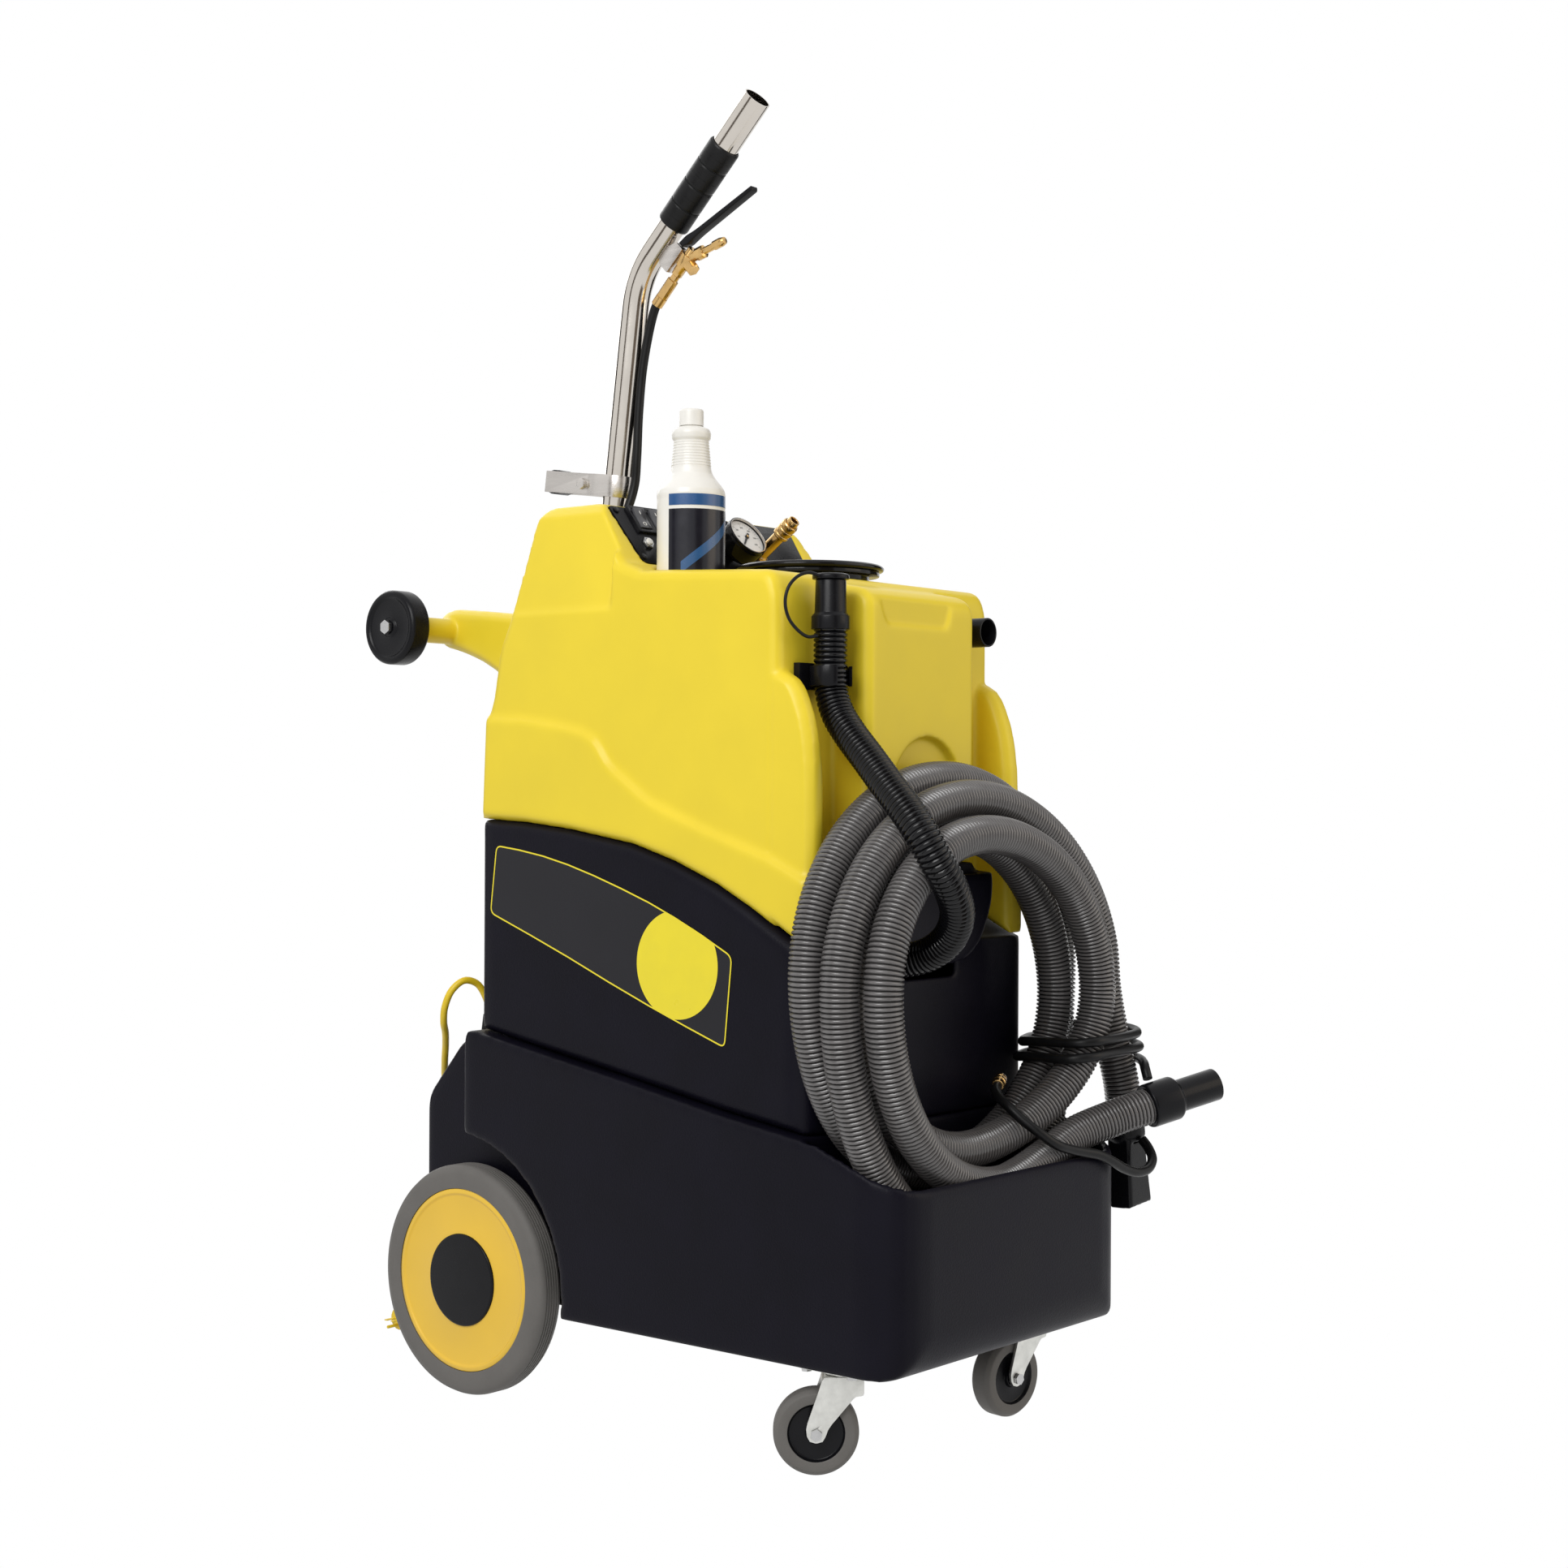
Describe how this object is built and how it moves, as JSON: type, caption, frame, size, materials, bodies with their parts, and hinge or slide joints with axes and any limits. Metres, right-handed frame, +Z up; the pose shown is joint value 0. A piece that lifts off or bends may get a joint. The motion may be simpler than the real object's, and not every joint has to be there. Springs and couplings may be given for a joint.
{
  "type": "spot extractor",
  "caption": "Upright carpet and spot extractor on wheels, with stacked tanks, control panel, stored wand, coiled vacuum hose, drain hose and a rear handle.",
  "frame": {"origin": "on the ground, in the middle of the machine's footprint without its hoses and mains cord", "axes": "+Z up, +X to the machine's right, -Y to its front with the hose basket, +Y to the rear handle and the rear wheels"},
  "size_m": [0.6539, 1.2673, 1.7377],
  "materials": {
    "yellow_shell": "semi-matt moulded",
    "black_shell": "matt moulded",
    "black_plastic": "satin",
    "clear_plastic": "clear",
    "white_plastic": "satin",
    "hose_plastic": "satin",
    "black_rubber": "matt",
    "grey_tyre": "matt",
    "zinc_steel": "zinc plated",
    "steel": "brushed",
    "chromed": "polished",
    "brass": "satin",
    "yellow_cord": "satin"
  },
  "bodies": {
    "machine": {"base_chassis": "black_shell", "solution_tank": "black_shell", "recovery_tank": "yellow_shell", "control_panel": "black_plastic", "gauge_body": "black_plastic", "coupler_body": "brass", "lid_ring": "black_plastic", "vacuum_inlet": "black_plastic", "handle_bar": "yellow_shell", "handle_axle": "steel", "rear_axle": "steel", "caster_plate_left": "zinc_steel", "caster_plate_right": "zinc_steel", "vacuum_motor_left": "black_plastic", "vacuum_motor_right": "black_plastic", "pump": "brass", "shut_off_float": "white_plastic", "vacuum_hose": "hose_plastic", "wand_cuff": "black_plastic", "machine_cuff": "black_plastic", "solution_lead": "black_rubber", "solution_lead_two": "black_rubber", "lead_plug": "brass", "lead_coupling": "brass", "drain_outlet": "black_plastic", "drain_hose": "black_rubber", "drain_cuff": "black_plastic", "drain_clip": "black_plastic", "strain_relief": "black_plastic", "mains_cord": "yellow_cord", "mains_coil": "yellow_cord", "power_plug": "yellow_cord"},
    "rear_wheel_left": {"rear_tyre_left": "grey_tyre", "rear_hub_left": "yellow_shell"},
    "rear_wheel_right": {"rear_tyre_right": "grey_tyre", "rear_hub_right": "yellow_shell"},
    "swivel_left": {"caster_fork_left": "zinc_steel"},
    "swivel_right": {"caster_fork_right": "zinc_steel"},
    "caster_left": {"caster_wheel_left": "grey_tyre"},
    "caster_right": {"caster_wheel_right": "grey_tyre"},
    "roller_left": {"roller_left": "black_rubber"},
    "roller_right": {"roller_right": "black_rubber"},
    "switch_left": {"rocker_left": "black_plastic"},
    "switch_right": {"rocker_right": "black_plastic"},
    "breaker": {"breaker_button": "white_plastic"},
    "needle": {"gauge_needle": "black_plastic"},
    "sleeve": {"coupler_sleeve": "brass"},
    "lid": {"lid": "clear_plastic"},
    "bottle": {"bottle": "white_plastic"},
    "bottle_cap": {"bottle_cap": "white_plastic"},
    "wand": {"wand_tube": "chromed", "wand_grip": "black_rubber", "valve_bracket": "steel", "valve_body": "brass", "wand_hose": "black_rubber", "wand_head": "steel", "assist_handle": "steel", "assist_grip": "black_plastic"},
    "lever": {"valve_lever": "black_plastic"},
    "drain_cap": {"drain_cap": "black_plastic"}
  },
  "joints": [
    {"name": "rear_wheel_left_spin", "type": "hinge", "parent": "machine", "child": "rear_wheel_left", "pos_m": [-0.211, 0.2741, 0.1524], "axis": [1, 0, 0], "continuous": true},
    {"name": "caster_left_swivel", "type": "hinge", "parent": "machine", "child": "swivel_left", "pos_m": [-0.188, -0.3399, 0.118], "axis": [0, 0, 1], "continuous": true},
    {"name": "caster_left_roll", "type": "hinge", "parent": "swivel_left", "child": "caster_left", "pos_m": [-0.20857, -0.31539, 0.0508], "axis": [0.766, 0.6428, 0], "continuous": true},
    {"name": "roller_left_spin", "type": "hinge", "parent": "machine", "child": "roller_left", "pos_m": [-0.226, 0.4131, 1.027], "axis": [1, 0, 0], "continuous": true},
    {"name": "switch_left_rock", "type": "hinge", "parent": "machine", "child": "switch_left", "pos_m": [-0.137, 0.0427, 1.15688], "axis": [1, 0, 0], "range_deg": [-10, 0]},
    {"name": "rear_wheel_right_spin", "type": "hinge", "parent": "machine", "child": "rear_wheel_right", "pos_m": [0.211, 0.2741, 0.1524], "axis": [1, 0, 0], "continuous": true},
    {"name": "caster_right_swivel", "type": "hinge", "parent": "machine", "child": "swivel_right", "pos_m": [0.188, -0.3399, 0.118], "axis": [0, 0, 1], "continuous": true},
    {"name": "caster_right_roll", "type": "hinge", "parent": "swivel_right", "child": "caster_right", "pos_m": [0.15631, -0.33545, 0.0508], "axis": [0.1392, 0.9903, 0], "continuous": true},
    {"name": "roller_right_spin", "type": "hinge", "parent": "machine", "child": "roller_right", "pos_m": [0.226, 0.4131, 1.027], "axis": [1, 0, 0], "continuous": true},
    {"name": "switch_right_rock", "type": "hinge", "parent": "machine", "child": "switch_right", "pos_m": [-0.107, 0.0427, 1.15688], "axis": [1, 0, 0], "range_deg": [-10, 0]},
    {"name": "breaker_press", "type": "slide", "parent": "machine", "child": "breaker", "axis": [0, -0.8083, 0.5888], "range_m": [-0.004, 0], "stiffness_N_per_m": 400, "springref_m": 0.001},
    {"name": "gauge_needle_turn", "type": "hinge", "parent": "machine", "child": "needle", "pos_m": [0.018, -0.00734, 1.14509], "axis": [0, -0.8083, 0.5888], "range_deg": [-270, 0], "stiffness_Nm_per_rad": 0.0005},
    {"name": "coupler_sleeve_slide", "type": "slide", "parent": "machine", "child": "sleeve", "axis": [0, -0.8083, 0.5888], "range_m": [-0.006, 0], "stiffness_N_per_m": 800, "springref_m": 0.002},
    {"name": "lid_lift", "type": "slide", "parent": "machine", "child": "lid", "axis": [0, 0, 1], "range_m": [0, 0.25]},
    {"name": "bottle_lift", "type": "slide", "parent": "machine", "child": "bottle", "axis": [0, 0, 1], "range_m": [0, 0.3]},
    {"name": "bottle_cap_lift", "type": "slide", "parent": "bottle", "child": "bottle_cap", "axis": [0, 0, 1], "range_m": [0, 0.06]},
    {"name": "wand_lift", "type": "slide", "parent": "machine", "child": "wand", "axis": [0, -0.1313, 0.9913], "range_m": [0, 0.3]},
    {"name": "valve_lever_squeeze", "type": "hinge", "parent": "wand", "child": "lever", "pos_m": [0, 0.09574, 1.55021], "axis": [1, 0, 0], "range_deg": [-16, 0], "stiffness_Nm_per_rad": 1.5, "springref_deg": 17.19},
    {"name": "drain_cap_pull", "type": "slide", "parent": "machine", "child": "drain_cap", "axis": [0, 0, 1], "range_m": [0, 0.08]}
  ]
}
